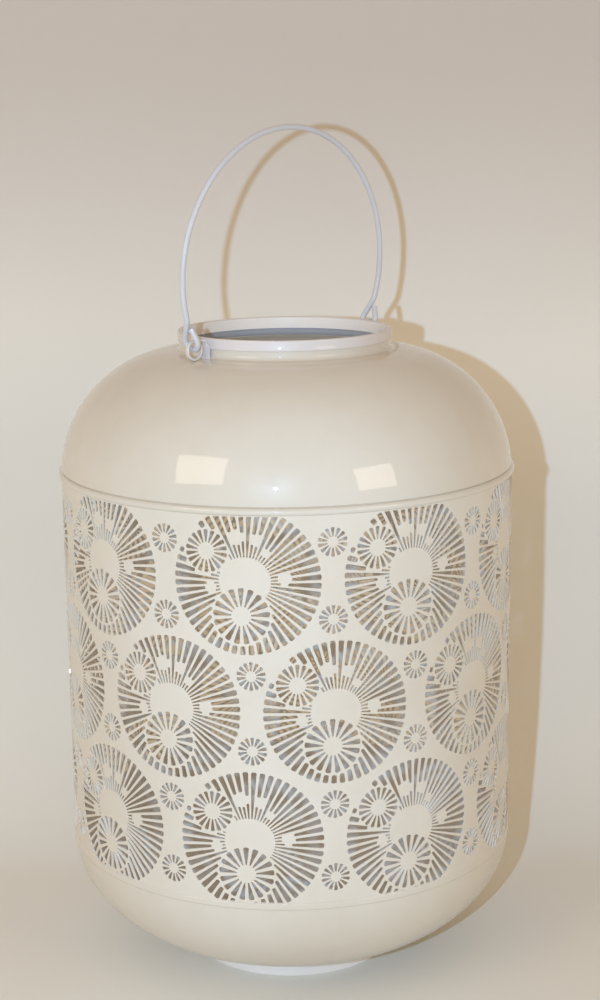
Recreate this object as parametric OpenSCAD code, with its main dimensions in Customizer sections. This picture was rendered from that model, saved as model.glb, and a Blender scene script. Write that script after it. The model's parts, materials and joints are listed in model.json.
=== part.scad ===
// Round pierced lantern with an open neck and a swinging wire handle.
// Millimetres. +Z is up, the foot stands on Z = 0 and the two ears lie on the X axis.

/* [Body] */
// Outer radius of the pierced sheet
body_r = 140; // [130:1:160]
// Height of the straight wall between the two seams
wall_h = 232; // [210:1:260]
// Radius of the bowl's rounded wall
bowl_r = 75; // [68:1:80]
// Radius of the dome's rounded shoulder
shoulder_r = 76; // [68:1:80]
// Thickness of the rolled sheet
sheet_t = 0.8; // [0.6:0.1:1]
// Thickness of the spun dome and bowl
spun_t = 0.9; // [0.7:0.1:1.2]
// Radius of the bead along the dome's lower edge
bead_r = 2.3; // [2:0.1:2.8]
// Radius of the lip along the bowl's upper edge
lip_r = 1.3; // [1.2:0.1:1.8]

/* [Foot] */
// Height of the foot ring
foot_h = 5; // [3:0.5:8]
// Thickness of the foot ring's wall
foot_t = 2.5; // [1.5:0.5:4]

/* [Candle plate] */
// Outer radius of the candle plate
plate_r = 48; // [35:1:50]
// Height of the candle plate's turned-up rim
plate_rim_h = 8; // [5:1:12]
// Thickness of the candle plate
plate_t = 0.8; // [0.6:0.1:1.2]

/* [Neck] */
// Height of the dome's turned-up neck above the shoulder
neck_h = 10.85; // [10:0.05:14]
// Radius of the hollow curve between neck and shoulder
cove_r = 4; // [3:0.5:4.5]
// Thickness of the collar's metal
collar_t = 1.1; // [0.8:0.1:1.4]
// Depth of the collar's outer skirt
collar_outer_h = 6.3; // [5.5:0.1:7]
// Depth of the collar's inner skirt
collar_inner_h = 7.5; // [6:0.1:9]

/* [Pierced pattern] */
// Number of medallions in each row
columns = 9; // [7:1:9]
// Angle of the first column from the X axis
pattern_turn = 15.3; // [0:0.1:40]
// Height from one row of medallions to the next
row_pitch = 76.5; // [74:0.5:78]
// Rays cut in each medallion
ray_count = 18; // [12:1:20]
// Slots in each of the two small suns inside a medallion
sun_count = 6; // [5:1:8]
// Slots in each little rosette between two medallions
rosette_count = 4; // [4:1:6]
// Share of its circle that the slots take at their outer ends
slot_share = 0.55; // [0.35:0.05:0.6]

/* [Ears] */
// Width of an ear's foot on the collar
ear_w = 7.5; // [5:0.5:10]
// Thickness of an ear's metal
ear_t = 1.2; // [1:0.1:1.3]
// Outer radius of an ear's eye
eye_r = 5.4; // [5.3:0.1:6]
// Width of an ear's eye
eye_w = 3.2; // [2.4:0.2:3.6]
// Distance from the collar to the middle of the eye
eye_reach = 8.4; // [8:0.1:12]

/* [Handle] */
// Radius of the handle's wire
wire_r = 1.75; // [1.4:0.05:1.8]
// How far the arch bulges beyond the hooks on each side
arch_spread = 10; // [6:0.5:16]
// Height of the arch's centre above the pivot
arch_rise = 38.5; // [34:0.5:60]
// Mean radius of the hook at each end
hook_r = 6; // [5.8:0.1:6.2]
// Lean of the standing handle towards the front
stand_lean = 3.5; // [0:0.5:8]

/* [Hidden] */
$fn = 96;

enamel_cream = [0.90, 0.87, 0.80];
enamel_white = [0.86, 0.87, 0.88];

// Clearance between a sheet's edge and the groove that holds it
fit_gap = 0.05;
// Clearance between an ear's eye and the shoulder below it
stand_off = 0.4;
// Overrun of every cutting shape
over = 1;

// Body profile, from the bottom up
foot_r = body_r - bowl_r;
floor_z = foot_h + spun_t;
lower_seam_z = foot_h + bowl_r;
upper_seam_z = lower_seam_z + wall_h;
sheet_inner_r = body_r - sheet_t;
bead_z = upper_seam_z + bead_r;
bead_depth_share = 0.75;
sheet_top_z = upper_seam_z + bead_r * bead_depth_share;
sheet_h = sheet_top_z - lower_seam_z;

// Dome's neck, with a hollow curve that touches the shoulder's arc and the neck's wall
shoulder_centre_r = body_r - shoulder_r;
shoulder_top_z = upper_seam_z + shoulder_r;
neck_r = shoulder_centre_r + spun_t;
neck_top_z = shoulder_top_z + neck_h;
cove_out = spun_t + cove_r;
cove_z = upper_seam_z + sqrt(pow(shoulder_r + cove_r, 2) - pow(cove_out, 2));
cove_touch_r = shoulder_centre_r + cove_out * shoulder_r / (shoulder_r + cove_r);

// Collar that straddles the neck's edge
collar_r = neck_r + fit_gap + collar_t;
collar_bore_r = shoulder_centre_r - fit_gap - collar_t;
collar_top_z = neck_top_z + collar_t;

// Pierced pattern: rows of medallions, each row half a column on from the row below it
column_step = 360 / columns;
column_arc = 2 * PI * body_r / columns;
nearest_centres = min(column_arc, sqrt(pow(column_arc / 2, 2) + pow(row_pitch, 2)));
medallion_share = 0.935;
medallion_r = nearest_centres / 2 * medallion_share;
pattern_lift = 1.5;
row_mid_z = (lower_seam_z + upper_seam_z) / 2 + pattern_lift;
plain_edge = 1.5;
room_above = upper_seam_z - plain_edge - row_mid_z - row_pitch;
room_below = row_mid_z - row_pitch - lower_seam_z - lip_r - plain_edge;

// A medallion's hub, suns and plain spots as shares of its radius: x, y, radius
hub_share = 0.33;
sun_a_shares = [-0.54, 0.40, 0.29];
sun_b_shares = [-0.06, -0.47, 0.37];
spot_shares = [[-0.12, 0.58, 0.10], [0.15, 0.55, 0.08], [0.50, 0.03, 0.10], [-0.50, -0.10, 0.07]];
sun_land_share = 0.035;
shortest_slot_share = 0.09;
sun_hub_share = 0.36;
rosette_height_share = 0.52;
rosette_r_share = 0.19;

hub_r = hub_share * medallion_r;
sun_a = sun_a_shares * medallion_r;
sun_b = sun_b_shares * medallion_r;
land = [0, 0, sun_land_share * medallion_r];
plain_patches = concat([sun_a + land, sun_b + land], spot_shares * medallion_r);
shortest_slot = shortest_slot_share * medallion_r;
rosette_r = rosette_r_share * medallion_r;
rosette_y = rosette_height_share * medallion_r;
cut_depth = body_r - sqrt(pow(sheet_inner_r, 2) - pow(medallion_r, 2)) + over;

// Strip behind the joint of the rolled sheet, midway between two columns
strip_w = 12;
strip_angle = pattern_turn + column_step * 1.5;

// Ears: the eye stands just clear of the shoulder
eye_inner_r = eye_r - ear_t;
eye_x = collar_r + eye_reach;
shoulder_under_eye = upper_seam_z + sqrt(pow(shoulder_r, 2) - pow(eye_x - shoulder_centre_r, 2));
eye_z = shoulder_under_eye + stand_off + eye_r;
ear_top_z = collar_top_z - ear_t / 2;
ear_bottom_z = collar_top_z - collar_outer_h - ear_t * 2;

// Handle: each hook turns about the top of its eye, and its leg leans out into the arch
pivot_shift_share = 0.1;
pivot_x = eye_x + hook_r * pivot_shift_share;
pivot_z = eye_z + eye_r - ear_t / 2;
jog_angle = 24;
jog_r = hook_r * 2;
tip_angle = 20;
tip_length = hook_r * 1.15;
hook_turn = 180 + tip_angle + jog_angle;
join_share = 1.02;
jog_run = (hook_r * cos(jog_angle) - jog_r * (1 - cos(jog_angle))) / sin(jog_angle);
hook_rise = (hook_r + jog_r) * sin(jog_angle) + jog_run * cos(jog_angle);
arch_r = pivot_x + arch_spread;
leg_tilt = 2 * atan(arch_spread / (arch_rise + hook_rise));
side_r = (arch_rise - hook_rise * cos(leg_tilt)) / sin(leg_tilt);

// The stretch of a ray at angle a that a round plain patch covers, or nothing
function covered(a, patch) =
    let (
        along = cos(a) * patch.x + sin(a) * patch.y,
        rest = pow(along, 2) - pow(patch.x, 2) - pow(patch.y, 2) + pow(patch.z, 2)
    )
    rest <= 0 || along < 0 ? [] : [along - sqrt(rest), along + sqrt(rest)];

// What is left of some stretches once a covered one is taken out
function open_parts(stretches, gap) = len(gap) == 0 ? stretches
    : [for (s = stretches, part = [[s[0], min(s[1], gap[0])], [max(s[0], gap[1]), s[1]]])
        if (part[1] - part[0] > shortest_slot) part];

// The open stretches of a ray after the patches from number i on are taken out
function clear_of_patches(a, stretches, i = 0) = i == len(plain_patches) ? stretches
    : clear_of_patches(a, open_parts(stretches, covered(a, plain_patches[i])), i + 1);

// How far a ray may reach before its corner leaves the room above or below the centre
function ray_end(a, above, below) =
    let (room = sin(a) > 0 ? above : below, spread = PI / ray_count * slot_share)
    min(medallion_r, room / (abs(sin(a)) + spread * abs(cos(a))));

// A slot is a list: x and y of its circle's centre, angle, inner end, outer end, slots in the circle
function ray_slots(above, below) =
    [for (i = [0 : ray_count - 1], a = [(i + 0.5) * 360 / ray_count],
        s = clear_of_patches(a, [[hub_r, ray_end(a, above, below)]]))
        [0, 0, a, s[0], s[1], ray_count]];

function circle_slots(place, count) =
    [for (i = [0 : count - 1])
        [place.x, place.y, 90 + i * 360 / count, place.z * sun_hub_share, place.z, count]];

function medallion_slots(above = medallion_r, below = medallion_r) =
    concat(ray_slots(above, below), circle_slots(sun_a, sun_count), circle_slots(sun_b, sun_count));

function rosette_slots() = [for (y = [-rosette_y, rosette_y], i = [0 : rosette_count - 1])
    [0, y, (i + 0.5) * 360 / rosette_count, rosette_r * sun_hub_share, rosette_r, rosette_count]];

function half_width(s) = PI * s[4] / s[5] * slot_share;

// The nearest that a slot comes to one side, left for side 1 and right for side -1
function nearest_to_side(s, side) =
    min(side * (s.x + s[3] * cos(s[2])), side * (s.x + s[4] * cos(s[2])) - abs(half_width(s) * sin(s[2])));

// Slots that reach into the sector on one side of their centre, or all of them for side 0
function on_side(slots, side) = [for (s = slots) if (side == 0 || nearest_to_side(s, side) < 0) s];

// A wedge-shaped slot: a point at its inner end and its full width at its outer end
module slot(s) {
    translate([s.x, s.y]) rotate(s[2])
        polygon([[s[3], 0], [s[4], -half_width(s)], [s[4], half_width(s)]]);
}

// Cuts slots through the sheet, around a centre at one angle and height
module pierce(slots, angle, z) {
    rotate([0, 0, angle]) translate([body_r + over - cut_depth, 0, z]) rotate([90, 0, 90])
        for (s = slots) linear_extrude(height = cut_depth) slot(s);
}

// One column of the sheet, from half a step before its middle to half a step after
module sheet_sector() {
    difference() {
        rotate([0, 0, -column_step / 2]) rotate_extrude(angle = column_step)
            translate([sheet_inner_r, lower_seam_z]) square([sheet_t, sheet_h]);
        pierce(medallion_slots(above = room_above), 0, row_mid_z + row_pitch);
        pierce(medallion_slots(below = room_below), 0, row_mid_z - row_pitch);
        pierce(rosette_slots(), 0, row_mid_z);
        for (side = [-1, 1]) {
            edge = side * column_step / 2;
            pierce(on_side(medallion_slots(), side), edge, row_mid_z);
            for (row = [-1, 1])
                pierce(on_side(rosette_slots(), side), edge, row_mid_z + row * row_pitch);
        }
    }
}

module pierced_sheet() color(enamel_cream) {
    for (k = [0 : columns - 1]) rotate([0, 0, pattern_turn + k * column_step]) sheet_sector();
}

module seam_strip() color(enamel_cream) {
    turn = strip_w / sheet_inner_r * 180 / PI;
    rotate([0, 0, strip_angle - turn / 2]) rotate_extrude(angle = turn)
        translate([sheet_inner_r - fit_gap - sheet_t, lower_seam_z + lip_r * 1.5])
            square([sheet_t, wall_h - lip_r * 3]);
}

// Quarter of a ring, from the level of its centre to its top
module quarter_wall(r, from) {
    intersection() {
        difference() {
            circle(r = r);
            circle(r = r - spun_t);
        }
        translate([0, from]) square([r + over, r + over]);
    }
}

// Room for the sheet's edge, with a clearance on both sides
module sheet_groove(z, depth) {
    translate([sheet_inner_r - fit_gap, z]) square([sheet_t + fit_gap * 2, depth]);
}

module bottom_bowl() color(enamel_cream) rotate_extrude() difference() {
    union() {
        translate([foot_r, lower_seam_z]) mirror([0, 1]) quarter_wall(bowl_r, 0);
        translate([0, foot_h]) square([foot_r, spun_t]);
        translate([sheet_inner_r, lower_seam_z]) circle(r = lip_r);
    }
    sheet_groove(lower_seam_z, lip_r + over);
}

module foot_ring() color(enamel_white) rotate_extrude()
    translate([foot_r - foot_t, 0]) square([foot_t, foot_h]);

module candle_plate() color(enamel_cream) rotate_extrude() {
    translate([0, floor_z]) square([plate_r, plate_t]);
    translate([plate_r - plate_t, floor_z]) square([plate_t, plate_rim_h]);
    translate([plate_r - plate_t / 2, floor_z + plate_rim_h]) circle(r = plate_t);
}

module top_dome() color(enamel_cream) rotate_extrude() difference() {
    union() {
        translate([shoulder_centre_r, upper_seam_z]) quarter_wall(shoulder_r, bead_r);
        translate([sheet_inner_r, bead_z]) circle(r = bead_r);
        translate([shoulder_centre_r, shoulder_top_z - spun_t]) square([spun_t, neck_h + spun_t]);
        difference() {
            translate([shoulder_centre_r, shoulder_top_z - spun_t])
                square([cove_touch_r - shoulder_centre_r, cove_z - shoulder_top_z + spun_t]);
            translate([neck_r + cove_r, cove_z]) circle(r = cove_r);
        }
    }
    sheet_groove(upper_seam_z - over, sheet_top_z - upper_seam_z + over);
}

// Ring folded over the neck's edge, with rounded corners
module neck_collar() color(enamel_white) rotate_extrude() {
    corner_r = collar_t / 2;
    translate([collar_r - collar_t, collar_top_z - collar_outer_h])
        square([collar_t, collar_outer_h - corner_r]);
    translate([collar_bore_r, collar_top_z - collar_inner_h])
        square([collar_t, collar_inner_h - corner_r]);
    translate([collar_bore_r + corner_r, collar_top_z - collar_t])
        square([collar_r - collar_bore_r - collar_t, collar_t]);
    for (r = [collar_bore_r + corner_r, collar_r - corner_r])
        translate([r, collar_top_z - corner_r]) circle(r = corner_r);
}

// Foot bent to the collar's curve, and an arm that rolls into an eye
module ear() color(enamel_white) {
    foot_turn = ear_w / collar_r * 180 / PI;
    rotate([0, 0, -foot_turn / 2]) rotate_extrude(angle = foot_turn)
        translate([collar_r, ear_bottom_z]) square([ear_t, ear_top_z - ear_bottom_z]);
    translate([eye_x, eye_w / 2, eye_z]) rotate([90, 0, 0]) linear_extrude(height = eye_w) {
        difference() {
            circle(r = eye_r);
            circle(r = eye_inner_r);
        }
        translate([ear_t / 2 - eye_reach, eye_inner_r]) square([eye_reach - ear_t / 2, ear_t]);
    }
}

module ear_right() ear();

module ear_left() mirror([1, 0, 0]) ear();

module wire_rod(length) cylinder(r = wire_r, h = length, $fn = 32);

// Bend in the wire, with a ball a hair thicker than the wire where it joins the next piece
module wire_arc(r, angle, joins) {
    rotate_extrude(angle = angle) translate([r, 0]) circle(r = wire_r, $fn = 32);
    for (a = joins) rotate(a) translate([r, 0, 0]) sphere(r = wire_r * join_share, $fn = 32);
}

// Hook at the handle's end, upright in the YZ plane around the pivot
module hook() rotate([90, 0, 90]) {
    rotate([0, 0, 180 - tip_angle]) {
        wire_arc(hook_r, hook_turn, joins = [0, hook_turn]);
        translate([hook_r, 0, 0]) rotate([90, 0, 0]) wire_rod(tip_length);
    }
    rotate([0, 0, jog_angle]) {
        translate([hook_r, 0, 0]) rotate([-90, 0, 0]) wire_rod(jog_run);
        translate([hook_r + jog_r, jog_run, 0]) rotate([0, 0, 180 - jog_angle])
            wire_arc(jog_r, jog_angle, joins = [0, jog_angle]);
    }
}

// Hook and lower side of the arch on the +X side, with the pivot line through the origin
module half_handle() {
    translate([pivot_x, 0, 0]) rotate([0, leg_tilt, 0]) hook();
    translate([arch_r - side_r, 0, arch_rise]) rotate([90, 0, 0]) rotate([0, 0, -leg_tilt])
        wire_arc(side_r, leg_tilt, joins = [leg_tilt]);
}

module handle() color(enamel_white) translate([0, 0, pivot_z]) rotate([stand_lean, 0, 0]) {
    translate([0, 0, arch_rise]) rotate([90, 0, 0]) wire_arc(arch_r, 180, joins = []);
    half_handle();
    mirror([1, 0, 0]) half_handle();
}

foot_ring();
bottom_bowl();
candle_plate();
pierced_sheet();
seam_strip();
top_dome();
neck_collar();
ear_left();
ear_right();
handle();
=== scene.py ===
# %% [markdown]
# # A pierced lantern in pale enamel
# The lantern is a tall drum of thin sheet steel, pierced all round with sunburst medallions.
# A spun bowl closes it below and a spun dome above, and a wire handle swings from two ears at
# the neck. Everything is dipped in glossy enamel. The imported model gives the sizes, and this
# script dresses it: each piece is built as a mesh in metres, in the model's own frame.

# %% Frame and tools
import json
import math

import bmesh
import bpy
from mathutils import Matrix, Vector
from mathutils.bvhtree import BVHTree
from mathutils.geometry import delaunay_2d_cdt


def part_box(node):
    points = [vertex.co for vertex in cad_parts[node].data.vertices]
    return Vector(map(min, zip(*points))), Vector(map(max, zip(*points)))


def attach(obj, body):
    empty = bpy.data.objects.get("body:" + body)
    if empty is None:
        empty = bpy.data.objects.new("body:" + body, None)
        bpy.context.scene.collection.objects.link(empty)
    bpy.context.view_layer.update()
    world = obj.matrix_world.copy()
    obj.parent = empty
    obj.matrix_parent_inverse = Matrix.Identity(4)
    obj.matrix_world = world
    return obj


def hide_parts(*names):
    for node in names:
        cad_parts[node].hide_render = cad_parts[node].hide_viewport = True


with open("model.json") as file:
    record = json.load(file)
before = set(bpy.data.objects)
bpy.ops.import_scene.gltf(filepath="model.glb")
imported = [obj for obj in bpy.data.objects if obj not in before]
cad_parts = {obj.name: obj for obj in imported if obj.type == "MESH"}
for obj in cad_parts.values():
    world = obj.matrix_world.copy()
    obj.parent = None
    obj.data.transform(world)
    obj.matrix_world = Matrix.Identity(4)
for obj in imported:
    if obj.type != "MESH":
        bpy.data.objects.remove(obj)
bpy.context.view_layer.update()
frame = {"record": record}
mm = 0.001

# %% [markdown]
# ## Driving sizes
# The wall's radius, the seams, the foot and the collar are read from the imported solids, so the
# dressed lantern always fits them. The metal's thickness, the shoulder's radius and the small
# radii of folds and beads are written here, as a metalworker would note them.

# %% Sizes
sheet_low, sheet_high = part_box("pierced_sheet")
dome_low, dome_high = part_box("top_dome")
bowl_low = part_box("bottom_bowl")[0]
foot_low, foot_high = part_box("foot_ring")
collar_low, collar_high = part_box("neck_collar")
plate_low, plate_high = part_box("candle_plate")
strip_low, strip_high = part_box("seam_strip")
handle_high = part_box("handle")[1]
ear_low, ear_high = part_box("ear_right")

sheet_t = 0.8 * mm
spun_t = 0.9 * mm
body_r = sheet_high[0]
inner_r = body_r - sheet_t
lower_seam_z = sheet_low[2]
bead_r = 2.3 * mm
upper_seam_z = dome_low[2]
lip_r = 1.3 * mm
foot_r = foot_high[0]
shoulder_r = 76 * mm
neck_in_r = body_r - shoulder_r
collar_r = collar_high[0]
collar_top_z = collar_high[2]
print("wall radius", round(body_r, 4), "seams", round(lower_seam_z, 4), round(upper_seam_z, 4))


# %% [markdown]
# ## Turned pieces
# The dome, the bowl, the collar and the foot are spun or rolled round one axis. Each is drawn
# as half a cross-section, from points and arcs, and turned about Z with enough steps that the
# gloss shows no facets. A turned mesh is better here than a bent grid, because the real ones
# were turned too, and the section keeps the metal's true thickness at every open edge.

# %% Turning helpers
turn_steps = 192
sharp_above = math.radians(40)
on_axis = 1e-7


def arc(centre_r, centre_z, radius, start, end, steps):
    """Points of a section's arc, from one angle to another in degrees."""
    angles = [math.radians(start + (end - start) * i / steps) for i in range(steps + 1)]
    return [(centre_r + radius * math.cos(a), centre_z + radius * math.sin(a)) for a in angles]


def mesh_piece(name, points, faces, body="lantern"):
    """A mesh object that rides on a body, smooth except where its faces meet sharply."""
    mesh = bpy.data.meshes.new(name)
    mesh.from_pydata(points, [], faces)
    mesh.validate()
    shell = bmesh.new()
    shell.from_mesh(mesh)
    bmesh.ops.recalc_face_normals(shell, faces=shell.faces)
    shell.to_mesh(mesh)
    shell.free()
    mesh.polygons.foreach_set("use_smooth", [True] * len(mesh.polygons))
    mesh.set_sharp_from_angle(angle=sharp_above)
    piece = bpy.data.objects.new(name, mesh)
    bpy.context.scene.collection.objects.link(piece)
    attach(piece, body)
    return piece


def turned(name, section, closed=True, steps=turn_steps):
    """Turns a section of (radius, height) points about Z. A point on the axis stays one point."""
    points = []
    rings = []
    for r, z in section:
        if r < on_axis:
            rings.append([len(points)] * steps)
            points.append((0, 0, z))
            continue
        rings.append(list(range(len(points), len(points) + steps)))
        for i in range(steps):
            a = 2 * math.pi * i / steps
            points.append((r * math.cos(a), r * math.sin(a), z))
    faces = []
    for low, high in zip(rings, rings[1:] + rings[:1] if closed else rings[1:]):
        for i in range(steps):
            j = (i + 1) % steps
            corners = [low[i], low[j], high[j], high[i]]
            corners = [c for k, c in enumerate(corners) if c not in corners[:k]]
            if len(corners) > 2:
                faces.append(corners)
    return mesh_piece(name, points, faces)


# %% [markdown]
# ## The dome
# A deep round shoulder rises from a rolled bead to a short upright neck. The bead is where the
# dome's edge is rolled over the sheet's top edge. The shoulder's arc starts a little above it,
# which leaves a fine groove, and a small hollow arc leads from the shoulder into the neck.

# %% Dome
cove_r = 3 * mm
neck_out_r = neck_in_r + spun_t
cove_out = spun_t + cove_r
cove_z = upper_seam_z + math.sqrt((shoulder_r + cove_r) ** 2 - cove_out ** 2)
cove_angle = math.degrees(math.acos(cove_out / (shoulder_r + cove_r)))
bead_z = upper_seam_z + bead_r
groove_angle = 4
neck_top_z = dome_high[2]

dome_section = (
    arc(inner_r, bead_z, bead_r, 180, 450, 36)
    + arc(neck_in_r, upper_seam_z, shoulder_r, groove_angle, cove_angle, 64)
    + arc(neck_out_r + cove_r, cove_z, cove_r, cove_angle - 180, -180, 10)
    + [(neck_out_r, neck_top_z), (neck_in_r, neck_top_z)]
    + arc(neck_out_r + cove_r, cove_z, cove_r + spun_t, 180, 180 + cove_angle, 10)
    + arc(neck_in_r, upper_seam_z, shoulder_r - spun_t, cove_angle, groove_angle, 48)[1:]
)
dome = turned("dome_shell", dome_section)
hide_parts("top_dome")
print("dome", len(dome.data.polygons), "faces, neck", round(neck_out_r, 4))

# %% [markdown]
# ## The bowl and its foot
# The bowl is shallower towards its middle than the dome: its outline in the photograph follows
# a quarter of an ellipse, down to a small flat floor. A low upright lip takes the sheet's lower
# edge. The foot is a narrow ring with rounded edges that meets the bowl's underside, and the
# photograph shows a pale sliver of it below the bowl.

# %% Bowl and foot
flat_r = 30 * mm
floor_lift = 2 * mm
bowl_z = bowl_low[2] + floor_lift
floor_z = bowl_z + spun_t
lip_h = 2.2 * mm
lip_angle = -1


def ellipse(across, down, start, end, steps):
    """Points of the bowl's quarter ellipse, from one angle to another in degrees."""
    angles = [math.radians(start + (end - start) * i / steps) for i in range(steps + 1)]
    return [(flat_r + across * math.cos(a), lower_seam_z + down * math.sin(a)) for a in angles]


def underside_z(r):
    """Height of the bowl's outer face at a radius."""
    share = (r - flat_r) / (body_r - flat_r)
    return lower_seam_z - (lower_seam_z - bowl_z) * math.sqrt(1 - share ** 2)


bowl_section = (
    [(0, bowl_z)]
    + ellipse(body_r - flat_r, lower_seam_z - bowl_z, -90, lip_angle, 80)
    + arc(inner_r, lower_seam_z, lip_r, -50, 0, 6)
    + arc(inner_r, lower_seam_z + lip_h, lip_r, 0, 180, 20)
    + ellipse(inner_r - flat_r, lower_seam_z - floor_z, lip_angle, -90, 60)
    + [(0, floor_z)]
)
bowl = turned("bowl_shell", bowl_section, closed=False)
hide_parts("bottom_bowl")

foot_t = 2.5 * mm
foot_edge = 0.7 * mm
foot_bite = spun_t / 3
foot_section = (
    arc(foot_r - foot_edge, foot_low[2] + foot_edge, foot_edge, -90, 0, 6)
    + [(foot_r, underside_z(foot_r) + foot_bite),
       (foot_r - foot_t, underside_z(foot_r - foot_t) + foot_bite)]
    + arc(foot_r - foot_t + foot_edge, foot_low[2] + foot_edge, foot_edge, 180, 270, 6)
)
foot = turned("foot_band", foot_section)
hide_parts("foot_ring")
print("bowl", len(bowl.data.polygons), "faces, foot", round(foot_r, 4))

# %% [markdown]
# ## The collar
# A strip folded over the neck's edge gives a rounded rim, an outer skirt with a fine raised
# line at its lower edge, and a longer inner skirt.

# %% Collar
collar_t = 1.1 * mm
rim_r = 0.95 * mm
hem_r = 0.35 * mm
hem_h = 2.4 * hem_r
hem_step = 0.25 * mm
skirt_h = 6.3 * mm
collar_bore_r = neck_in_r - (collar_r - collar_t - neck_out_r) - collar_t
skirt_low_z = collar_top_z - skirt_h
inner_low_z = collar_low[2]
collar_section = (
    arc(collar_r - rim_r, collar_top_z - rim_r, rim_r, 90, 0, 8)
    + [(collar_r - hem_step, skirt_low_z + hem_h)]
    + arc(collar_r - hem_r, skirt_low_z + hem_r, hem_r, 60, -90, 6)
    + [(collar_r - collar_t, skirt_low_z), (collar_r - collar_t, neck_top_z)]
    + [(collar_bore_r + collar_t, neck_top_z), (collar_bore_r + collar_t, inner_low_z)]
    + arc(collar_bore_r + hem_r, inner_low_z + hem_r, hem_r, -90, -180, 4)
    + arc(collar_bore_r + rim_r, collar_top_z - rim_r, rim_r, 180, 90, 8)
)
collar = turned("neck_rim", collar_section, steps=256)
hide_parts("neck_collar")
print("collar", len(collar.data.polygons), "faces")

# %% [markdown]
# ## Candle plate
# Inside, on the bowl's floor, a shallow plate with a rolled edge keeps a candle in the middle.
# A single rivet head holds it. It shows only from above, through the neck.

# %% Candle plate
plate_t = 0.8 * mm
roll_r = 0.8 * mm
plate_r = plate_high[0] - roll_r + plate_t / 2
corner_in_r, corner_out_r = 2 * mm, 2.6 * mm
rivet_r = 3.3 * mm
rivet_sunk = 1.1 * mm
stand_z = underside_z(plate_r - corner_out_r) + spun_t
plate_top_z = stand_z + plate_high[2] - plate_low[2]
plate_section = (
    [(0, stand_z - rivet_sunk + rivet_r)]
    + arc(0, stand_z - rivet_sunk, rivet_r, 80, 38, 6)
    + [(rivet_r, stand_z + plate_t)]
    + arc(plate_r - plate_t - corner_in_r, stand_z + plate_t + corner_in_r, corner_in_r, -90, 0, 8)
    + arc(plate_r - plate_t / 2, plate_top_z - roll_r, roll_r, 240, -60, 16)
    + arc(plate_r - corner_out_r, stand_z + corner_out_r, corner_out_r, 0, -90, 8)
    + [(0, stand_z)]
)
plate = turned("candle_pan", plate_section, closed=False, steps=96)
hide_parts("candle_plate")
print("plate", len(plate.data.polygons), "faces")

# %% [markdown]
# ## The pierced sheet
# Three rows of nine medallions cover the sheet, and each row stands half a step on from its
# neighbour, the middle one a little more. A medallion is a burst of narrow slots round a plain
# hub. Two small suns lie over it, and a few round spots stay plain where the slots stop and
# start again. Their places and radii are shares of the medallion's radius. Little rosettes fill
# the gaps. A boolean cut with thousands of slots would be slow and leave poor shading, so
# one ninth of the sheet is drawn flat, every slot as a small outline, and the metal between is
# filled with triangles. The flat piece is then bent round the drum nine times, given its
# thickness, and told the drum's own normals, so that its gloss stays clean.

# %% Slot pattern
columns = 9
column_turn = 2 * math.pi / columns
half_width = body_r * column_turn / 2
pattern_turn = math.radians(15.3)
row_pitch = 77 * mm
row_lift = 1.6 * mm
row_mid_z = (lower_seam_z + upper_seam_z) / 2 + row_lift
middle_shift = 1.9 * mm
medallion_r = 42.4 * mm
plain_edge = 0.6 * mm
bead_cover = 0.3 * mm

ray_count = 52
ray_wide = 3.3 * mm
ray_narrow = 0.8 * mm
hub_r = 0.33 * medallion_r
hub_x, hub_y = -0.035 * medallion_r, 0
suns = [
    {"x": -0.535, "y": 0.40, "r": 0.29, "hub": 0.115, "slots": 18, "wide": 2.5 * mm, "first": 90},
    {"x": -0.07, "y": -0.467, "r": 0.385, "hub": 0.132, "slots": 17, "wide": 3.4 * mm, "first": 90},
]
sun_land = 0.028
spots = [(-0.125, 0.60, 0.105), (0.153, 0.565, 0.085), (0.515, 0.05, 0.095),
         (0.27, 0.39, 0.06), (-0.48, -0.09, 0.08)]
rosette = {"r": 8.4 * mm, "hub": 3.1 * mm, "slots": 14, "wide": 2.2 * mm, "lift": 22.2 * mm}
shortest_slot = 1.6 * mm
corner_share = 0.3


def slot_outline(x, y, angle, inner, outer, narrow, wide):
    """Corners of a slot with softened ends, along a ray from (x, y) at an angle in radians."""
    flat = []
    for end, width, way in ((outer, wide, 1), (inner, narrow, -1)):
        c = corner_share * width
        soft = c * (1 - math.sqrt(0.5))
        steps = [(c, width / 2), (soft, width / 2 - soft), (0, width / 2 - c)]
        side = [(end - way * u, -way * v) for u, v in steps]
        flat += side + [(u, -v) for u, v in reversed(side)]
    ca, sa = math.cos(angle), math.sin(angle)
    return [(x + u * ca - v * sa, y + u * sa + v * ca) for u, v in flat]


def covered(angle, x, y, r):
    """Where a ray from the medallion's middle runs over a round plain patch, or None."""
    along = math.cos(angle) * x + math.sin(angle) * y
    rest = along ** 2 - x ** 2 - y ** 2 + r ** 2
    if rest <= 0 or along < 0:
        return None
    return along - math.sqrt(rest), along + math.sqrt(rest)


def open_stretches(angle):
    """The parts of a ray that are cut, from the hub to the rim, as (start, end) pairs."""
    hub = covered(angle, hub_x, hub_y, hub_r) or (0, 0)
    start = hub[1] if hub[1] > 0 else hub_r
    parts = [(start, medallion_r)]
    patches = [(s["x"], s["y"], s["r"] + sun_land) for s in suns] + spots
    for x, y, r in patches:
        gap = covered(angle, x * medallion_r, y * medallion_r, r * medallion_r)
        if gap is None:
            continue
        cut = []
        for a, b in parts:
            cut += [(a, min(b, gap[0])), (max(a, gap[1]), b)]
        parts = [(a, b) for a, b in cut if b - a > shortest_slot]
    return parts


def ray_width(r):
    """A ray's width at a distance from the medallion's middle."""
    share = (r - hub_r) / (medallion_r - hub_r)
    return ray_narrow + (ray_wide - ray_narrow) * max(0, min(1, share))


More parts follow.
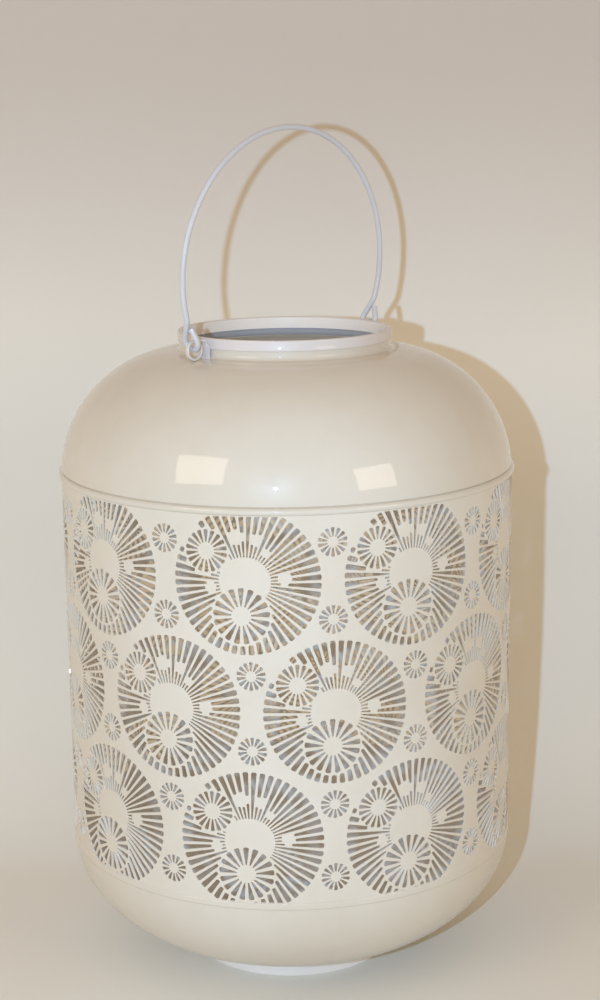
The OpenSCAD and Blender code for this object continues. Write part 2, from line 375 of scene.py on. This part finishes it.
def medallion(x, y):
    """All slots of one medallion, as outlines."""
    slots = []
    for i in range(ray_count):
        angle = (i + 0.5) * 2 * math.pi / ray_count
        for a, b in open_stretches(angle):
            slots.append(slot_outline(x, y, angle, a, b, ray_width(a), ray_width(b)))
    for s in suns:
        for i in range(s["slots"]):
            angle = math.radians(s["first"]) + i * 2 * math.pi / s["slots"]
            cx, cy = x + s["x"] * medallion_r, y + s["y"] * medallion_r
            slots.append(slot_outline(cx, cy, angle, s["hub"] * medallion_r, s["r"] * medallion_r,
                                      ray_narrow, s["wide"]))
    return slots


def rosette_pair(x, y):
    """The two little rosettes above and below a gap's middle."""
    slots = []
    for lift in (-rosette["lift"], rosette["lift"]):
        for i in range(rosette["slots"]):
            angle = (i + 0.5) * 2 * math.pi / rosette["slots"]
            slots.append(slot_outline(x, y + lift, angle, rosette["hub"], rosette["r"],
                                      ray_narrow, rosette["wide"]))
    return slots


def clipped(outline, axis, limit, keep_below):
    """The part of an outline on one side of a line across an axis."""
    kept = []
    for i, here in enumerate(outline):
        last = outline[i - 1]
        here_in = (here[axis] <= limit) == keep_below
        last_in = (last[axis] <= limit) == keep_below
        if here_in != last_in:
            share = (limit - last[axis]) / (here[axis] - last[axis])
            cross = [last[k] + share * (here[k] - last[k]) for k in (0, 1)]
            cross[axis] = limit
            kept.append(tuple(cross))
        if here_in:
            kept.append(here)
    return kept


# %% One ninth of the sheet, drawn flat
slot_top_z = upper_seam_z - bead_cover
slot_low_z = lower_seam_z + lip_h + plain_edge
drawn = []
for row, z in enumerate((row_mid_z - row_pitch, row_mid_z, row_mid_z + row_pitch)):
    if row == 1:
        for x in (middle_shift - half_width, middle_shift + half_width):
            drawn += medallion(x, z)
        drawn += rosette_pair(middle_shift, z)
    else:
        drawn += medallion(0, z) + rosette_pair(-half_width, z) + rosette_pair(half_width, z)
outlines = []
for outline in drawn:
    for axis, limit, below in ((0, half_width, True), (0, -half_width, False),
                               (1, slot_top_z, True), (1, slot_low_z, False)):
        outline = clipped(outline, axis, limit, below) if outline else outline
    if len(outline) > 2:
        outlines.append(outline)
print("slots in one ninth", len(outlines))

# %% [markdown]
# Points are also scattered on a plain grid between the slots. Without them the triangles would
# span wide angles, and the bent sheet would show flats.

# %% Triangles between the slots
flat_points = []
flat_faces = []
for outline in outlines:
    flat_faces.append(list(range(len(flat_points), len(flat_points) + len(outline))))
    flat_points += outline
grid_across, grid_up = 18, 34
for i in range(grid_across + 1):
    for j in range(grid_up + 1):
        flat_points.append((-half_width + 2 * half_width * i / grid_across,
                            lower_seam_z + (sheet_high[2] - lower_seam_z) * j / grid_up))
whole_hull, merge_below = 0, 1e-8
filled = delaunay_2d_cdt([Vector(p) for p in flat_points], [], flat_faces, whole_hull,
                         merge_below, True)
spread_points = filled[0]
spread_faces = [face for face, slots in zip(filled[2], filled[5]) if not slots]
print("flat points", len(spread_points), "triangles", len(spread_faces))


# %% Bend and thicken
def sector_index():
    """Numbers the points of all nine sectors, with one number for each point on a shared edge."""
    snap = 1e-7
    left = {round(p.y / snap): i for i, p in enumerate(spread_points)
            if abs(p.x + half_width) < snap}
    right = {i: left[round(p.y / snap)] for i, p in enumerate(spread_points)
             if abs(p.x - half_width) < snap and round(p.y / snap) in left}
    count = len(spread_points)
    return [[(k + 1) % columns * count + right[i] if i in right else k * count + i
             for i in range(count)] for k in range(columns)]


def bent_sheet():
    """The pierced sheet: the flat ninth bent nine times, with its thickness and its normals."""
    numbers = sector_index()
    count = len(spread_points) * columns
    points = []
    for radius in (body_r, inner_r):
        for k in range(columns):
            for p in spread_points:
                a = pattern_turn + k * column_turn + p.x / body_r
                points.append((radius * math.cos(a), radius * math.sin(a), p.y))
    outside = [[number[i] for i in face] for number in numbers for face in spread_faces]
    inside = [[i + count for i in reversed(face)] for face in outside]
    edges = {}
    for face in outside:
        for a, b in zip(face, face[1:] + face[:1]):
            key = (min(a, b), max(a, b))
            edges[key] = None if key in edges else (a, b)
    walls = [[b, a, a + count, b + count] for a, b in (e for e in edges.values() if e)]
    used = sorted({i for face in outside for i in face})
    used += [i + count for i in used]
    place = {old: new for new, old in enumerate(used)}
    faces = [[place[i] for i in face] for face in outside + inside + walls]
    mesh = bpy.data.meshes.new("pierced_drum")
    mesh.from_pydata([points[i] for i in used], [], faces)
    mesh.polygons.foreach_set("use_smooth", [True] * len(mesh.polygons))
    normals = []
    for polygon in mesh.polygons:
        for loop in polygon.loop_indices:
            x, y, _ = mesh.vertices[mesh.loops[loop].vertex_index].co
            if polygon.index < len(outside):
                normals.append(Vector((x, y, 0)).normalized())
            elif polygon.index < 2 * len(outside):
                normals.append(Vector((-x, -y, 0)).normalized())
            else:
                normals.append(polygon.normal.copy())
    mesh.normals_split_custom_set(normals)
    return mesh


sheet = bpy.data.objects.new("pierced_drum", bent_sheet())
bpy.context.scene.collection.objects.link(sheet)
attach(sheet, "lantern")
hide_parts("pierced_sheet")
print("sheet", len(sheet.data.vertices), "points", len(sheet.data.polygons), "faces")

# %% [markdown]
# ## Seam strip
# The rolled sheet's two edges butt together at the back, and a flat strip behind them is spot
# welded down both sides. Only its inner face shows, from above. It is a curved band with a row
# of small weld dimples down each side.

# %% Seam strip
strip_w = 12 * mm
strip_turn = strip_w / inner_r
strip_middle = pattern_turn + column_turn * 1.5
strip_low_z, strip_high_z = strip_low[2], strip_high[2]
strip_gap = 0.05 * mm
strip_out_r = inner_r - strip_gap
dimple_r = 1.6 * mm
dimple_h = 0.3 * mm
dimple_side = 3.6 * mm
dimple_pitch = 18 * mm


def dimple(across, z):
    """How far a weld dimple draws the strip's inner face outwards, at a place on it."""
    middle = round((z - strip_low_z) / dimple_pitch - 0.5) * dimple_pitch + dimple_pitch / 2
    away = math.hypot(abs(across) - dimple_side, z - strip_low_z - middle)
    return dimple_h * math.exp(-((away / dimple_r) ** 2) * 2)


def strip_mesh():
    """Points and faces of the strip: an inner face with dimples, an outer face and its edges."""
    wide, tall = 24, 180
    points = []
    for layer in (0, 1):
        for j in range(tall + 1):
            for i in range(wide + 1):
                across = (i / wide - 0.5) * strip_turn
                z = strip_low_z + (strip_high_z - strip_low_z) * j / tall
                r = strip_out_r
                if layer == 0:
                    r -= sheet_t - dimple(across * inner_r, z)
                a = strip_middle + across
                points.append((r * math.cos(a), r * math.sin(a), z))
    row = wide + 1
    layer_size = row * (tall + 1)
    faces = []
    for j in range(tall):
        for i in range(wide):
            a = j * row + i
            faces.append([a + row, a + row + 1, a + 1, a])
            faces.append([layer_size + c for c in (a, a + 1, a + row + 1, a + row)])
    rim = [j * row for j in range(tall)] + [tall * row + i for i in range(wide)]
    rim += [j * row + wide for j in range(tall, 0, -1)] + list(range(wide, 0, -1))
    for a, b in zip(rim, rim[1:] + rim[:1]):
        faces.append([b, a, a + layer_size, b + layer_size])
    return points, faces


strip = mesh_piece("seam_band", *strip_mesh())
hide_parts("seam_strip")
print("strip", len(strip.data.polygons), "faces")


# %% [markdown]
# ## Wire and strap
# The handle is one wire, bent cold: an arch, a leg on each side and an open hook at each end.
# The ears are short straps whose ends are rolled into an eye. Both are a fixed section carried
# along a path, so one helper makes them: it moves the section along the path and turns it no
# more than the path itself turns.

# %% Sweep helper
def swept(name, path, section, body, scales=None, up=None):
    """Carries a section of (across, up) points along a path, and closes both ends."""
    path = [Vector(p) for p in path]
    runs = [(b - a).normalized() for a, b in zip(path, path[1:])]
    tangents = [runs[0]] + [(a + b).normalized() for a, b in zip(runs, runs[1:])] + [runs[-1]]
    side = (up or tangents[0].orthogonal()).normalized()
    points = []
    for n, (p, t) in enumerate(zip(path, tangents)):
        side = (side - t * side.dot(t)).normalized()
        other = t.cross(side)
        wide, thick = scales[n] if scales else (1, 1)
        points += [tuple(p + side * (u * wide) + other * (v * thick)) for u, v in section]
    size = len(section)
    faces = []
    for n in range(len(path) - 1):
        for i in range(size):
            j = (i + 1) % size
            faces.append([n * size + i, n * size + j, (n + 1) * size + j, (n + 1) * size + i])
    faces.append(list(reversed(range(size))))
    faces.append([(len(path) - 1) * size + i for i in range(size)])
    return mesh_piece(name, points, faces, body)


def bend(centre, radius, start, end, steps):
    """Points of an arc in a flat drawing, from one angle to another in degrees."""
    angles = [math.radians(start + (end - start) * i / steps) for i in range(steps + 1)]
    return [Vector((centre[0] + radius * math.cos(a), centre[1] + radius * math.sin(a)))
            for a in angles]


# %% [markdown]
# ## The handle
# Each hook is drawn upright in its own plane: a cut tip, a round loop and a leg that jogs back
# over the middle. The plane then tilts out so that the leg runs straight into the arch. The
# loops' middle stands a little above the hinge, and the whole handle leans a little to one
# side, as it does in the photograph.

# %% Handle
hinge = frame["record"]["behaviour"]["joints"][0]
pivot_z = hinge["pos_m"][2]
wire_r = 1.75 * mm
hook_r = 5.2 * mm
hook_lift = 1.2 * mm
hook_z = pivot_z + hook_lift
jog_r = 2 * hook_r
jog_angle, tip_angle = 24, 30
tip_length = 1.15 * hook_r
hook_inset = 2.5 * mm
hook_x = ear_high[0] - hook_inset
lean = math.radians(3.5)
arch_r = handle_high[0] - wire_r
arch_rise = (handle_high[2] - wire_r - hook_z) / math.cos(lean) - arch_r
arch_spread = arch_r - hook_x

jog_sin, jog_cos = math.sin(math.radians(jog_angle)), math.cos(math.radians(jog_angle))
jog_run = (hook_r * jog_cos - jog_r * (1 - jog_cos)) / jog_sin
hook_rise = (hook_r + jog_r) * jog_sin + jog_run * jog_cos
leg_tilt = 2 * math.atan(arch_spread / (arch_rise + hook_rise))
side_r = (arch_rise - hook_rise * math.cos(leg_tilt)) / math.sin(leg_tilt)


def hook_path():
    """The hook from its cut tip to the start of the arch, as (forward, up) from its middle."""
    loop = bend((0, 0), hook_r, 180 - tip_angle, 360 + jog_angle, 40)
    tip = loop[0] + (loop[0] - loop[1]).normalized() * tip_length
    leg_end = loop[-1] + Vector((-jog_sin, jog_cos)) * jog_run
    jog_centre = leg_end + Vector((jog_cos, jog_sin)) * jog_r
    jog = bend(jog_centre, jog_r, 180 + jog_angle, 180, 8)
    return [tip] + loop + jog


def handle_path():
    """The whole wire, from one hook's tip over the arch to the other's."""
    side = []
    for forward, rise in hook_path():
        out = hook_x + rise * math.sin(leg_tilt)
        side.append(Vector((out, forward, rise * math.cos(leg_tilt))))
    tilt = math.degrees(leg_tilt)
    for x, z in bend((arch_r - side_r, arch_rise), side_r, -tilt, 0, 12)[1:]:
        side.append(Vector((x, 0, z)))
    top = [Vector((x, 0, z)) for x, z in bend((0, arch_rise), arch_r, 0, 180, 96)[1:-1]]
    far = [Vector((-p.x, p.y, p.z)) for p in reversed(side)]
    stand = Matrix.Translation((0, 0, hook_z)) @ Matrix.Rotation(lean, 4, "X")
    return [stand @ p for p in side + top + far]


wire_sides = 20
wire_section = [(wire_r * math.cos(a), wire_r * math.sin(a))
                for a in (2 * math.pi * i / wire_sides for i in range(wire_sides))]
handle = swept("wire_handle", handle_path(), wire_section, "handle")
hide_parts("handle")
print("handle", len(handle.data.polygons), "faces, top", round(handle_high[2], 4))

# %% [markdown]
# ## The ears
# A strap lies against the collar, turns out over the shoulder and rolls down into the eye that
# carries the hook. It is wide where it is welded and narrows to the eye.

# %% Ears
ear_w, eye_w = 7.5 * mm, 2.4 * mm
ear_t = 1.2 * mm
eye_r = 6 * mm
eye_inset, eye_drop = 1.9 * mm, 4.4 * mm
eye_x = hook_x - eye_inset
eye_z = pivot_z - eye_drop
strap_r = eye_r - ear_t / 2
arm_z = eye_z + strap_r
fold_r = 1.6 * mm
strap_edge = 0.25 * mm
taper_gap, taper_h = 1 * mm, 3 * mm
ear_foot_x = collar_r + ear_t / 2


def strap_path():
    """The strap's middle line as (out, up): up the collar, out, and round the eye."""
    foot_end = [Vector((ear_foot_x, ear_low[2])), Vector((ear_foot_x, arm_z - fold_r))]
    fold = bend((ear_foot_x + fold_r, arm_z - fold_r), fold_r, 180, 90, 8)
    eye = bend((eye_x, eye_z), strap_r, 90, -245, 48)
    return foot_end + fold[1:] + eye


def soft_box_section(wide, thick, edge):
    """A rectangle with cut corners, as a section."""
    w, t = wide / 2, thick / 2
    return [(w, t - edge), (w - edge, t), (edge - w, t), (-w, t - edge),
            (-w, edge - t), (edge - w, -t), (w - edge, -t), (w, edge - t)]


flat_strap = strap_path()
foot_steps = 6
foot_part = [flat_strap[0].lerp(flat_strap[1], i / foot_steps) for i in range(foot_steps)]
flat_strap = foot_part + flat_strap[1:]
strap_widths = []
for n, p in enumerate(flat_strap):
    share = max(0, min(1, (arm_z - taper_gap - p.y) / taper_h)) if n <= foot_steps else 0
    strap_widths.append((1 + (ear_w / eye_w - 1) * share, 1))
section = soft_box_section(eye_w, ear_t, strap_edge)
for side, name, node in ((1, "right_ear_strap", "ear_right"), (-1, "left_ear_strap", "ear_left")):
    path = [Vector((side * p.x, 0, p.y)) for p in flat_strap]
    ear = swept(name, path, section, "lantern", strap_widths, up=Vector((0, 1, 0)))
    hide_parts(node)
    print(name, len(ear.data.polygons), "faces")


# %% [markdown]
# ## Shader sums
# A finish is easier to read as sums than as a web of nodes. A small class wraps one output
# socket, so that adding or multiplying values adds the Math node. Every other node comes from
# one method, which sets the node's settings first and then its sockets.

# %% Shader helpers
class Value:
    """One number that varies over the surface. Sums and products of values add Math nodes."""

    def __init__(self, finish, socket):
        self.finish = finish
        self.socket = socket

    def math(self, operation, other):
        return self.finish.add("ShaderNodeMath", {"operation": operation}, {0: self, 1: other})

    def end(self):
        """Makes this shader the material's surface."""
        output = self.finish.tree.nodes["Material Output"]
        self.finish.tree.links.new(self.socket, output.inputs["Surface"])

    def __add__(self, other):
        return self.math("ADD", other)

    def __mul__(self, other):
        return self.math("MULTIPLY", other)


class Finish:
    """A material, with its shader and one way to add any node."""

    def __init__(self, name):
        self.material = bpy.data.materials.new(name)
        self.material.use_nodes = True
        self.tree = self.material.node_tree
        self.shader = self.tree.nodes["Principled BSDF"]
        self.surface = Value(self, self.shader.outputs[0])
        self.place = self.add("ShaderNodeTexCoord", output="Object")

    def add(self, kind, settings=None, sockets=None, output=0):
        node = self.tree.nodes.new(kind)
        for key, setting in (settings or {}).items():
            setattr(node, key, setting)
        for key, value in (sockets or {}).items():
            self.feed(node.inputs[key], value)
        return Value(self, node.outputs[output])

    def feed(self, socket, value):
        if isinstance(value, Value):
            self.tree.links.new(value.socket, socket)
        else:
            socket.default_value = value

    def noise(self, scale, detail=2.0, roughness=0.5):
        """Soft clouds, with this many to a metre."""
        sockets = {"Vector": self.place, "Scale": scale, "Detail": detail, "Roughness": roughness}
        return self.add("ShaderNodeTexNoise", None, sockets)

    def step(self, value, low, high):
        """0 below low, 1 above high, and a smooth rise between."""
        settings = {"interpolation_type": "SMOOTHSTEP"}
        return self.add("ShaderNodeMapRange", settings,
                        {"Value": value, "From Min": low, "From Max": high})

    def mix(self, share, first, second):
        """A colour between two colours, by a share."""
        sockets = {"Factor": share, 6: first, 7: second}
        return self.add("ShaderNodeMix", {"data_type": "RGBA"}, sockets, output=2)

    def height(self):
        return self.add("ShaderNodeSeparateXYZ", None, {0: self.place}, output="Z")

    def bump(self, level, distance):
        return self.add("ShaderNodeBump", None, {"Height": level, "Distance": distance})


def colour(red, green, blue):
    """A colour given as it looks on a screen, from 0 to 255, as the shader's linear numbers."""
    parts = []
    for part in (red, green, blue):
        part /= 255
        parts.append(part / 12.92 if part <= 0.04045 else ((part + 0.055) / 1.055) ** 2.4)
    return (*parts, 1)


# %% [markdown]
# ## Enamel
# Enamel is a coloured coat under a clear gloss. It pools a little unevenly, so its colour
# shifts by a few percent over a hand's width, and its surface is never optically flat: there is
# a fine orange peel and a slow wave that softens the reflections. Dust leaves a few specks.
# The clear coat does most of the mirroring, and the paint below it very little. What is the same
# all over a piece, such as the coat's strength, sits on its own socket.

# %% Enamel finishes
drift_scale, cloud_scale, speck_scale, patch_scale = 9, 60, 900, 40
drift_share, cloud_share, speck_share = 0.6, 0.25, 0.35
dust = colour(120, 105, 88)
paint_roughness, cloud_roughness, speck_roughness = 0.35, 0.08, 0.2
peel_scale, peel_depth = 420, 0.006
wave_scale, wave_depth = 26, 0.12
relief = 2 * mm
coat_roughness = 0.03
paint_mirror = 0.2


def enamel(name, base, shade, wave=1.0, coat=1.0):
    """Glossy enamel in a base colour that drifts towards a shade of it."""
    f = Finish(name)
    drift = f.step(f.noise(drift_scale, 3), 0.35, 0.7)
    cloud = f.step(f.noise(cloud_scale, 4, 0.6), 0.4, 0.75)
    speck = f.step(f.noise(speck_scale, 1), 0.77, 0.80) * f.step(f.noise(patch_scale), 0.5, 0.6)
    painted = f.mix(drift * drift_share + cloud * cloud_share, base, shade)
    f.feed(f.shader.inputs["Base Color"], f.mix(speck * speck_share, painted, dust))
    roughness = cloud * cloud_roughness + paint_roughness + speck * speck_roughness
    f.feed(f.shader.inputs["Roughness"], roughness)
    surface = f.noise(peel_scale, 1) * peel_depth + f.noise(wave_scale, 1) * (wave_depth * wave)
    f.feed(f.shader.inputs["Normal"], f.bump(surface, relief))
    f.shader.inputs["Coat Weight"].default_value = coat
    f.shader.inputs["Coat Roughness"].default_value = coat_roughness
    f.shader.inputs["Specular IOR Level"].default_value = paint_mirror
    return f.material


cream = colour(216, 207, 191)
cream_shade = colour(209, 198, 179)
white = colour(220, 212, 206)
white_shade = colour(212, 204, 198)
dome_enamel = enamel("dome_enamel", cream, cream_shade)
sheet_enamel = enamel("sheet_enamel", colour(219, 210, 194), colour(212, 201, 182),
                      wave=1.6, coat=0.7)
rim_enamel = enamel("rim_enamel", white, white_shade, coat=0.6)
wire_enamel = enamel("wire_enamel", colour(204, 203, 205), colour(196, 195, 198), coat=0.5)
# The foot's enamel is painted whiter than the body's: a painted highlight for the pale reflection
# along it
foot_enamel = enamel("foot_enamel", colour(240, 231, 222), colour(232, 223, 214), coat=0.4)
# The inside and lining enamels are lighter than the outer ones: painted light inside the drum and
# the collar
inside_enamel = enamel("inside_enamel", colour(236, 231, 224), colour(228, 222, 213), coat=0.3)
lining_enamel = enamel("lining_enamel", colour(240, 230, 219), colour(232, 222, 211), coat=0.5)
# Dark grey for the dome's inner faces under the neck: painted shade for the deep inside
flare_enamel = enamel("flare_enamel", colour(162, 161, 162), colour(152, 151, 153), coat=0.2)
finishes = {"dome_shell": dome_enamel, "bowl_shell": dome_enamel, "pierced_drum": sheet_enamel,
            "neck_rim": rim_enamel, "foot_band": foot_enamel, "candle_pan": inside_enamel,
            "seam_band": inside_enamel, "right_ear_strap": rim_enamel,
            "left_ear_strap": rim_enamel, "wire_handle": wire_enamel}
for name, material in finishes.items():
    bpy.data.objects[name].data.materials.append(material)

# The inner faces get an enamel of their own, painted lighter as painted light, and those under the
# dome's neck a dark grey one with less gloss, as painted shade
middle = Vector((0, 0, (lower_seam_z + upper_seam_z) / 2))
inward_below = -0.2
for piece in (dome, bowl, sheet, collar):
    mesh = piece.data
    mesh.materials.append(lining_enamel if piece == collar else inside_enamel)
    for polygon in mesh.polygons:
        if polygon.normal.dot((polygon.center - middle).normalized()) < inward_below:
            polygon.material_index = 1
# The dome's inner faces high under the neck take the dark grey painted shade
dome.data.materials.append(flare_enamel)
for polygon in dome.data.polygons:
    if polygon.material_index == 1 and polygon.center.z > cove_z - cove_r:
        polygon.material_index = 2
print("finishes", sorted({m.name for m in finishes.values()}))

# %% [markdown]
# ## Camera
# The photograph was taken from a little above the neck, looking slightly down. The place, the
# small roll and the lens were worked out from the rims, seams and medallions in it.

# %% Camera
photo_w, photo_h = 600, 1000
focal_px = 1807.9
film = 36
view_turn = math.radians(225)
camera_away, camera_up = 1.11125, 0.5289
pitch, roll, yaw = 0.2106, -0.01292, 0.0073

turn = Matrix.Rotation(view_turn + math.pi / 2, 3, "Z")
ahead = Vector((math.sin(yaw) * math.cos(pitch), math.cos(yaw) * math.cos(pitch),
                -math.sin(pitch)))
right = Vector((math.cos(yaw), -math.sin(yaw), 0))
above = right.cross(ahead)
right, above = (right * math.cos(roll) + above * math.sin(roll),
                above * math.cos(roll) - right * math.sin(roll))
axes = Matrix((turn @ right, turn @ above, turn @ -ahead)).transposed()
right_axis = turn @ right
camera_data = bpy.data.cameras.new("camera")
camera_data.sensor_width = film
camera_data.lens = focal_px / photo_h * film
camera = bpy.data.objects.new("camera", camera_data)
camera_place = turn @ Vector((0, -camera_away, camera_up))
camera.matrix_world = Matrix.Translation(camera_place) @ axes.to_4x4()
bpy.context.scene.collection.objects.link(camera)
bpy.context.scene.camera = camera
print("camera at", [round(v, 3) for v in camera_place], "lens", round(camera_data.lens, 1))


# %% [markdown]
# ## Light
# Gloss is judged by what it mirrors. Two soft boxes show as pale rectangles on the shoulder, so
# each is placed by its own reflection: a line from the camera through that spot is mirrored at
# the dome, and the box hangs along the mirrored line. A lamp just left of the camera lights what
# faces it, and throws the lantern's shadow a little to the right. The room's even light fills
# the rest: it is a little warmer, so the shadows are too.

# %% Lamps
def through_pixel(x, y):
    """Direction from the camera through a pixel of the photograph."""
    across, up = (x - photo_w / 2) / focal_px, (photo_h / 2 - y) / focal_px
    return (axes @ Vector((across, up, -1))).normalized()


def area_lamp(name, place, towards, size, watts, tint, roll_angle=0):
    """A rectangular lamp at a place, facing along a direction and turned about it."""
    data = bpy.data.lights.new(name, "AREA")
    data.shape = "RECTANGLE"
    data.size, data.size_y = size
    data.energy = watts
    data.color = tint[:3]
    lamp = bpy.data.objects.new(name, data)
    lamp.location = place
    facing = towards.to_track_quat("-Z", "Y").to_matrix()
    lamp.rotation_euler = (facing @ Matrix.Rotation(math.radians(roll_angle), 3, "Z")).to_euler()
    bpy.context.scene.collection.objects.link(lamp)
    print(name, "at", [round(v, 2) for v in lamp.location])


def mirrored_box(name, pixel, away, size, watts, tint, roll_angle=0):
    """A lamp whose reflection on the dome is seen at a pixel of the photograph."""
    tree = BVHTree.FromPolygons([v.co for v in dome.data.vertices],
                                [p.vertices for p in dome.data.polygons])
    seen = through_pixel(*pixel)
    spot = tree.ray_cast(camera_place, seen)[0]
    ring = Vector((spot.x, spot.y, 0)).normalized() * neck_in_r + Vector((0, 0, upper_seam_z))
    mirrored = seen.reflect((spot - ring).normalized())
    area_lamp(name, spot + mirrored * away, -mirrored, size, watts, tint, roll_angle)


left_pixel, right_pixel = (200, 470), (376, 477)
left_size, right_size, key_size = (1.0, 0.9), (0.8, 0.72), (0.012, 0.012)
left_watts, right_watts, key_watts = 10, 6.5, 8.2
box_tint, key_tint = colour(255, 238, 212), colour(168, 212, 255)
box_away, key_left = 2.2, 0.10
left_roll = 8
key_aim = Vector((0, 0, 1.6 * body_r))
mirrored_box("left_box", left_pixel, box_away, left_size, left_watts, box_tint, left_roll)
mirrored_box("right_box", right_pixel, box_away, right_size, right_watts, box_tint)
key_place = camera_place - right_axis * key_left
area_lamp("key", key_place, key_aim - key_place, key_size, key_watts, key_tint)

room_tint, room_strength = colour(255, 227, 193), 0.53
world = bpy.data.worlds.new("room")
world.use_nodes = True
world.node_tree.nodes["Background"].inputs["Color"].default_value = room_tint
world.node_tree.nodes["Background"].inputs["Strength"].default_value = room_strength
bpy.context.scene.world = world
bpy.context.scene.view_settings.view_transform = "Standard"


# %% [markdown]
# ## Floor and backdrop
# One sheet of paper lies under the lantern and curves up behind it, square to the camera. Its
# colour is painted darker up the wall: painted shade, for the light that falls off towards the top.
# Its back is clear, so that it doesn't hide the lantern from a camera behind it.

# %% Floor
def paper_sweep():
    """Points and faces of a paper sweep behind the lantern, square to the camera."""
    near, far, high, curve, wide = -2.2, 0.27, 2.2, 0.18, 3.0
    line = [(near, 0)] + [(p.x, p.y) for p in bend((far - curve, curve), curve, -90, 0, 16)]
    line.append((far, high))
    points = []
    for away, z in line:
        for side in (-wide, wide):
            points.append(tuple(turn @ Vector((side, away, z))))
    faces = [[2 * i, 2 * i + 1, 2 * i + 3, 2 * i + 2] for i in range(len(line) - 1)]
    return points, faces


sweep_points, sweep_faces = paper_sweep()
sweep_mesh = bpy.data.meshes.new("paper_sweep")
sweep_mesh.from_pydata(sweep_points, [], sweep_faces)
sweep_mesh.polygons.foreach_set("use_smooth", [True] * len(sweep_mesh.polygons))
sweep = bpy.data.objects.new("paper_sweep", sweep_mesh)
bpy.context.scene.collection.objects.link(sweep)
paper = Finish("paper")
near_tone, near_shade = colour(236, 232, 222), colour(230, 226, 215)
painted_shade_tone = colour(199, 191, 182)
painted_shade_low_z, painted_shade_high_z = 0.28, 0.60
near_paper = paper.mix(paper.step(paper.noise(3), 0.3, 0.7), near_tone, near_shade)
# Painted shade: the paper darkens up the wall, between two heights
paper_tone = paper.mix(paper.step(paper.height(), painted_shade_low_z, painted_shade_high_z), near_paper, painted_shade_tone)
paper.feed(paper.shader.inputs["Base Color"], paper_tone)
paper.shader.inputs["Roughness"].default_value = 0.9
clear = paper.add("ShaderNodeBsdfTransparent")
behind = paper.add("ShaderNodeNewGeometry", output="Backfacing")
paper.add("ShaderNodeMixShader", None, {0: behind, 1: paper.surface, 2: clear}).end()
sweep_mesh.materials.append(paper.material)
